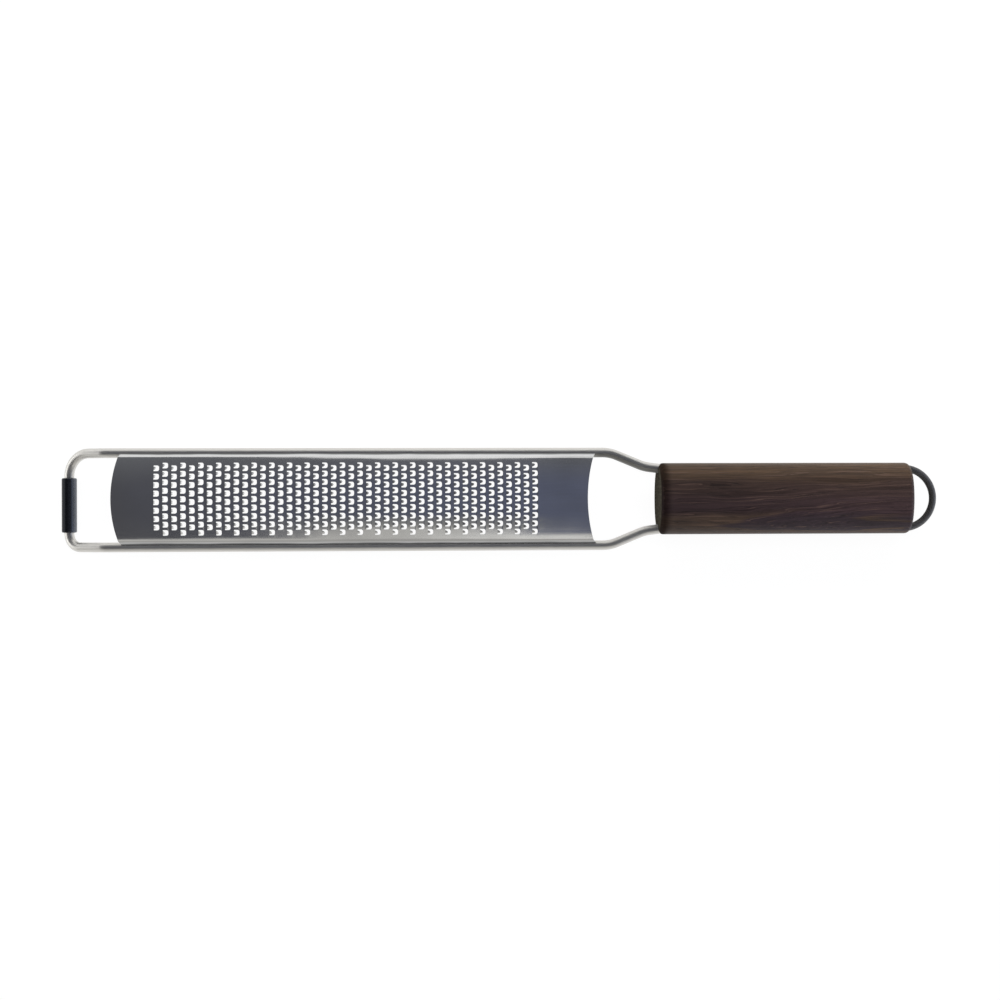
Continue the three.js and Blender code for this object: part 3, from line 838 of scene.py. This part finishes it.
def sheet_section(s, height):
    """The point across the tool at s on the sheet's underside, raised along the sheet's normal."""
    left = abs(s)
    slope, y, z = 0, 0, CROWN_Z
    for length, curl in SECTION_RUNS:
        run = min(left, length)
        left -= run
        if curl:
            y += (math.sin(slope + curl * run) - math.sin(slope)) / curl
            z += (math.cos(slope + curl * run) - math.cos(slope)) / curl
        else:
            y += run * math.cos(slope)
            z -= run * math.sin(slope)
        slope += curl * run
    across = BLADE_ACROSS.normalized()
    y = math.copysign(y + height * math.sin(slope), s)
    z += height * math.cos(slope)
    return BLADE_ORIGIN + Vector((across.x * y - across.y * z, across.y * y + across.x * z))


def end_bow(s):
    """How far an end cut falls back from the middle line at s."""
    girth = min(abs(s), BODY_GIRTH)
    clip = FLANGE_CLIP * (abs(s) - girth) / FLANGE_WIDTH
    return BOW_RADIUS - math.sqrt(BOW_RADIUS ** 2 - girth ** 2) + clip


def hole_centres(column):
    """Places of one column's holes across the sheet. Every other column is a tooth shorter."""
    is_long = column % 2 == 1
    count = 2 * ROWS_PER_SIDE + (1 if is_long else 0)
    first = -ROWS_PER_SIDE + (0 if is_long else 1 - STAGGER)
    return [(first + row) * ROW_PITCH for row in range(count)]


class Sheet:
    """The blade's mesh. Points are laid out flat, x along the tool and s across it, and put bent."""

    def __init__(self):
        self.points = []
        self.faces = []

    def put(self, x, s, height):
        self.points.append((x, *sheet_section(s, height)))
        return len(self.points) - 1

    def pair(self, x, s):
        """A point on the upper face and one under it, with their place across the sheet."""
        return s, self.put(x, s, BLADE_THICKNESS), self.put(x, s, 0)

    def strip(self, first, second):
        """Both faces of the sheet between two rows of pairs of the same length."""
        for (_, a, b), (_, c, d), (_, e, f), (_, g, h) in zip(first, first[1:], second, second[1:]):
            self.faces.append((a, e, g, c))
            self.faces.append((b, d, h, f))

    def wall(self, row):
        """The cut edge of the sheet along a row of pairs."""
        for (_, a, b), (_, c, d) in zip(row, row[1:]):
            self.faces.append((a, b, d, c))

    def bridge(self, left, right):
        """Both faces of the sheet between two rows whose pairs lie at different places."""
        i = j = 0
        while i < len(left) - 1 or j < len(right) - 1:
            left_next = left[i + 1][0] if i < len(left) - 1 else math.inf
            right_next = right[j + 1][0] if j < len(right) - 1 else math.inf
            corners = [left[i], right[j]]
            if left_next < right_next:
                i += 1
                corners.append(left[i])
            else:
                j += 1
                corners.append(right[j])
            self.faces.append(tuple(c[1] for c in corners))
            self.faces.append(tuple(c[2] for c in reversed(corners)))
        self.wall([left[0], right[0]])
        self.wall([left[-1], right[-1]])

    def hole_side(self, left_x, centre, side):
        """Pairs along one long side of a hole, from its tooth end round the corner to its far end."""
        edge = centre + side * HOLE_WIDTH / 2
        turn_x = left_x + HOLE_LENGTH - HOLE_ROUNDING
        row = [self.pair(left_x, edge)]
        for step in range(HOLE_ARC_STEPS + 1):
            angle = QUARTER_TURN * step / HOLE_ARC_STEPS
            x = turn_x + HOLE_ROUNDING * math.sin(angle)
            row.append(self.pair(x, edge - side * HOLE_ROUNDING * (1 - math.cos(angle))))
        return row

    def margin(self, row, side):
        """Plain sheet from a hole's side out to the sheet's edge. Returns the rows, outermost first."""
        places = [self.points[top][0] for _, top, _ in row]
        steps = math.floor((BEND_START - abs(row[0][0])) / MARGIN_STEP)
        plain = [BEND_START - MARGIN_STEP * step for step in range(1, steps + 1)]
        edges = [HALF_GIRTH, *reversed(BEND_PLACES), *plain]
        rows = [[self.pair(x, side * s) for x in places] for s in edges]
        rows.append(row)
        for outer, inner in zip(rows, rows[1:]):
            self.strip(outer, inner)
        self.wall(rows[0])
        return rows

    def tooth(self, left_x, centre):
        """A scooped tongue that rises from the hole's end wall. Returns the pairs of its root."""
        rows = []
        for row in range(TOOTH_ROWS):
            angle = QUARTER_TURN * row / TOOTH_ROWS
            shares = [math.cos(angle) * (2 * i / TOOTH_COLUMNS - 1) for i in range(TOOTH_COLUMNS + 1)]
            rows.append([self.tooth_pair(left_x, centre, math.sin(angle), v) for v in shares])
        tip = self.tooth_pair(left_x, centre, 1, 0)
        for near, far in zip(rows, rows[1:]):
            self.strip(near, far)
        for (_, a, b), (_, c, d) in zip(rows[-1], rows[-1][1:]):
            self.faces.append((a, tip[1], c))
            self.faces.append((b, d, tip[2]))
        self.wall([row[0] for row in rows] + [tip])
        self.wall([row[-1] for row in rows] + [tip])
        return rows[0]

    def tooth_pair(self, left_x, centre, reach, across):
        """A point of the tongue's upper side and one under it, at shares of its length and half width."""
        s = centre + TOOTH_BASE / 2 * across
        lift = TOOTH_LIFT * reach ** TOOTH_CURL - TOOTH_CROWN * reach * across ** 2
        thickness = BLADE_THICKNESS + (TOOTH_TIP_THICKNESS - BLADE_THICKNESS) * reach
        x = left_x + TOOTH_LENGTH * reach
        top = BLADE_THICKNESS + lift
        return s, self.put(x, s, top), self.put(x, s, top - thickness)

    def column(self, x, centres):
        """One column of holes and teeth. Returns the rows of pairs on its two sides."""
        left_x = x - HOLE_LENGTH / 2
        lows = [self.hole_side(left_x, s, -1) for s in centres]
        highs = [self.hole_side(left_x, s, 1) for s in centres]
        low_margin = self.margin(lows[0], -1)
        high_margin = self.margin(highs[-1], 1)
        for high, low in zip(highs, lows[1:]):
            self.strip(high, low)
        left = [row[0] for row in low_margin[:-1]]
        right = [row[-1] for row in low_margin[:-1]]
        for s, low, high in zip(centres, lows, highs):
            root = self.tooth(left_x, s)
            self.wall(low)
            self.wall(high)
            self.wall([low[-1], high[-1]])
            self.wall([low[0], root[0]])
            self.wall([root[-1], high[0]])
            left += [low[0], *root, high[0]]
            right += [low[-1], high[-1]]
        left += [row[0] for row in reversed(high_margin[:-1])]
        right += [row[-1] for row in reversed(high_margin[:-1])]
        return left, right

    def plain_rows(self, start_x, bow_at_start, end_x, bow_at_end):
        """Rows across plain sheet, whose bow fades from one end to the other."""
        count = max(2, round(abs(end_x - start_x) / PLAIN_STEP))
        arch = [BEND_START * (2 * i / PLAIN_COLUMNS - 1) for i in range(1, PLAIN_COLUMNS)]
        edges = [*BEND_PLACES, HALF_GIRTH]
        places = [*(-s for s in reversed(edges)), *arch, *edges]
        rows = []
        for step in range(count):
            share = step / (count - 1)
            bow = bow_at_start + (bow_at_end - bow_at_start) * share
            x = start_x + (end_x - start_x) * share
            rows.append([self.pair(x + bow * end_bow(s), s) for s in places])
        for left, right in zip(rows, rows[1:]):
            self.strip(left, right)
            self.wall([left[0], right[0]])
            self.wall([left[-1], right[-1]])
        return rows


def make_blade(material):
    sheet = Sheet()
    first_x = BLADE_FRONT_X + FIELD_SETBACK
    last_x = first_x + (COLUMN_COUNT - 1) * COLUMN_PITCH
    lead = HOLE_LENGTH / 2 + PLAIN_STEP / 2
    front = sheet.plain_rows(BLADE_FRONT_X, 1, first_x - lead, 0)
    sheet.wall(front[0])
    previous = front[-1]
    for column in range(COLUMN_COUNT):
        left, right = sheet.column(first_x + column * COLUMN_PITCH, hole_centres(column))
        sheet.bridge(previous, left)
        previous = right
    rear = sheet.plain_rows(last_x + lead, 0, BLADE_REAR_X, 1)
    sheet.bridge(previous, rear[0])
    sheet.wall(rear[-1])
    add_piece("etched_blade", sheet.points, sheet.faces, "grating_blade", material)


# Camera


def make_camera():
    right = Vector((math.cos(VIEW_LEAN), 0, math.sin(VIEW_LEAN)))
    up = Vector((0, 1, 0))
    back = right.cross(up)
    turned = Matrix.Rotation(-VIEW_ROLL, 3, back)
    right, up = turned @ right, turned @ up
    eye = Vector(VIEW_TARGET) + back * VIEW_DISTANCE + right * VIEW_SLIDE[0] + up * VIEW_SLIDE[1]
    data = bpy.data.cameras.new("view")
    data.sensor_width = SENSOR_WIDTH
    data.lens = SENSOR_WIDTH * FOCAL_SHARE
    camera = add_object("view", data)
    axes = Matrix((right, up, back)).transposed().to_4x4()
    camera.matrix_world = Matrix.Translation(eye * MM) @ axes
    bpy.context.scene.camera = camera


# Studio: angles are in degrees, and a pair of them is where a change starts and where it is full


NECK_SLANT = (7.2, 8.2)              # the neck mirrors what lies past this, and the blade doesn't
NEAR_SHIFTS = ((-0.8, -3, 11.6), (-7.8, -8.6, 1.9), (4, 6.4, 7))
NEAR_NECK_SHIFT = 8
FAR_SHIFTS = ((2.5, -6, 22), (4, 6.4, 7))
FAR_NECK_SHIFT = 16
CEILING_NOSE = (0.1, 0.1, 0.11, 1)
CEILING_REAR = (0.145, 0.162, 0.24, 1)
CEILING_ALONG = (-10, 9)
CEILING_FAR = (0.17, 0.175, 0.19, 1)
CEILING_ACROSS = (8, 46)
CEILING_NECK = (0.075, 0.076, 0.07, 1)
FRINGE = (0.31, 0.31, 0.3, 1)        # a paler edge of the ceiling, along the near wall's middle part
FRINGE_SIDE = (15, 27)
FRINGE_NOSE = (-3, -0.8)
FRINGE_REAR = (6, 5)
NEAR_WALL_NOSE = (0.66, 0.65, 0.62, 1)
NEAR_WALL_REAR = (0.94, 0.93, 0.9, 1)
NEAR_WALL_ALONG = (2, 4.5)
NEAR_WALL_SIDE = (28.8, 30.8)
OUTER_WALLS = (                      # angle, start, end and colour, each painted over those before it
    ("near_side", 42, 50, (0.5, 0.49, 0.47, 1)),
    ("near", 66, 80, grey(0.7)),
    ("far_side", 36, 40, grey(1.15)),
    ("nose", 55.5, 72.5, grey(2.2)),
    ("rear", 26, 60, (0.5, 0.56, 0.72, 1)),
    ("rear", 50, 78, (1.8, 1.9, 2.25, 1)),
)


class Studio(Nodes):
    """Light round the tool, painted by direction as walls that start at some angle from straight up.

    near and far are the -Y and +Y sides. near_side and far_side are the same angles less the limits, which
    move the walls out along parts of the tool. nose and rear are leans to -X and +X.
    """

    def __init__(self, tree):
        super().__init__(tree)
        axes = self.axes(self.add("ShaderNodeTexCoord").outputs["Generated"])
        across = self.math("ARCTAN2", axes["Y"], axes["Z"])
        near = self.opposite(across)
        slant = self.math("ARCSINE", axes["X"])
        self.along = self.math("ARCTAN2", axes["X"], axes["Z"])
        self.neck = self.wall(slant, *NECK_SLANT)
        self.angles = {
            "near": near,
            "far": across,
            "near_side": self.math("SUBTRACT", near, self.limit(NEAR_SHIFTS, NEAR_NECK_SHIFT)),
            "far_side": self.math("SUBTRACT", across, self.limit(FAR_SHIFTS, FAR_NECK_SHIFT)),
            "nose": self.opposite(slant),
            "rear": slant,
        }

    def opposite(self, angle):
        return self.math("MULTIPLY", angle, -1.0)

    def wall(self, angle, start, end):
        """A share that grows from 0 to 1 between two angles."""
        return self.span(angle, math.radians(start), math.radians(end))

    def limit(self, shifts, neck_shift):
        """How far a side's walls are moved out: (start, end, shift) of each step along the tool."""
        steps = [(self.wall(self.along, start, end), shift) for start, end, shift in shifts]
        steps.append((self.neck, neck_shift))
        return self.total(*(self.math("MULTIPLY", share, math.radians(shift)) for share, shift in steps))

    def ceiling(self):
        """Dark over the tool, bluer to the rear, paler to the far side and towards the near wall."""
        colour = self.mix(self.wall(self.along, *CEILING_ALONG), CEILING_NOSE, CEILING_REAR)
        colour = self.mix(self.wall(self.angles["far"], *CEILING_ACROSS), colour, CEILING_FAR)
        colour = self.mix(self.neck, colour, CEILING_NECK)
        fringe = self.wall(self.angles["near_side"], *FRINGE_SIDE)
        fringe = self.math("MULTIPLY", fringe, self.wall(self.along, *FRINGE_NOSE))
        fringe = self.math("MULTIPLY", fringe, self.wall(self.along, *FRINGE_REAR))
        return self.mix(fringe, colour, FRINGE)

    def colour(self):
        near_wall = self.mix(self.wall(self.along, *NEAR_WALL_ALONG), NEAR_WALL_NOSE, NEAR_WALL_REAR)
        colour = self.mix(self.wall(self.angles["near_side"], *NEAR_WALL_SIDE), self.ceiling(), near_wall)
        for name, start, end, paint in OUTER_WALLS:
            colour = self.mix(self.wall(self.angles[name], start, end), colour, paint)
        return colour


def make_world():
    """A studio with a dark ceiling over the tool and bright walls round it."""
    world = bpy.data.worlds.new("studio")
    bpy.context.scene.world = world
    world.use_nodes = True
    studio = Studio(world.node_tree)
    background = studio.add("ShaderNodeBackground", {"Color": studio.colour(), "Strength": 1.0})
    studio.add("ShaderNodeOutputWorld", {"Surface": background.outputs["Background"]})


# Floor and lamps, with power in watts


FLOOR_REACH = 40.0
FLOOR_DROP = 0.0002                  # keeps the floor clear of the tool's underside
FLOOR_PAINT = 0.8                    # grey of the floor in the soft light that it sends back
FLOOR_GLOW = 0.935                   # share of the floor's white that its own shade doesn't touch
FLOOR_LIGHT = 0.7                    # light that reaches the open floor, where 1 lights white paint fully
LAMPS = (                            # name, place, size and power
    ("key", (0.0, 1.1, 0.55), (1.6, 0.6), 9),
    ("top", (0.0, 0.2, 1.4), (1.6, 1.0), 10),
)


def make_floor():
    work = bmesh.new()
    bmesh.ops.create_grid(work, x_segments=1, y_segments=1, size=FLOOR_REACH)
    mesh = bpy.data.meshes.new("floor")
    work.to_mesh(mesh)
    work.free()
    floor = add_object("floor", mesh)
    floor.location.z = -FLOOR_DROP
    mesh.materials.append(floor_white())


def floor_white():
    """White to the camera and in the steel, apart from the tool's shadow, and pale paint to soft light."""
    material = bpy.data.materials.new("pale_floor")
    material.use_nodes = True
    nodes = Nodes(material.node_tree)
    path = nodes.add("ShaderNodeLightPath").outputs
    seen = nodes.math("MAXIMUM", path["Is Camera Ray"], path["Is Glossy Ray"])
    seen = nodes.math("MAXIMUM", seen, path["Is Transmission Ray"])
    paint = nodes.add("ShaderNodeBsdfDiffuse", {"Color": grey(FLOOR_PAINT)})
    glow = nodes.add("ShaderNodeEmission", {"Color": grey(1.0), "Strength": FLOOR_GLOW})
    dull = nodes.add("ShaderNodeBsdfDiffuse", {"Color": grey((1 - FLOOR_GLOW) / FLOOR_LIGHT)})
    white = nodes.add("ShaderNodeAddShader", {0: glow.outputs[0], 1: dull.outputs[0]})
    surface = nodes.add("ShaderNodeMixShader", {0: seen, 1: paint.outputs[0], 2: white.outputs[0]})
    nodes.add("ShaderNodeOutputMaterial", {"Surface": surface.outputs[0]})
    return material


def make_lamp(name, place, size, power):
    """A soft lamp that faces the tool and lights it without showing in the steel."""
    data = bpy.data.lights.new(name, "AREA")
    data.shape = "RECTANGLE"
    data.size, data.size_y = size
    data.energy = power
    lamp = add_object(name, data)
    lamp.location = place
    lamp.rotation_mode = "QUATERNION"
    lamp.rotation_quaternion = (-Vector(place)).to_track_quat("-Z", "Y")
    lamp.visible_glossy = False


bpy.context.scene.view_settings.view_transform = "Standard"
make_camera()
make_world()
make_floor()
for lamp_facts in LAMPS:
    make_lamp(*lamp_facts)

make_frame_rod()
make_hanging_loop()
make_sleeve(black_rubber())
make_handle(smoked_oak())
make_blade(blade_steel())
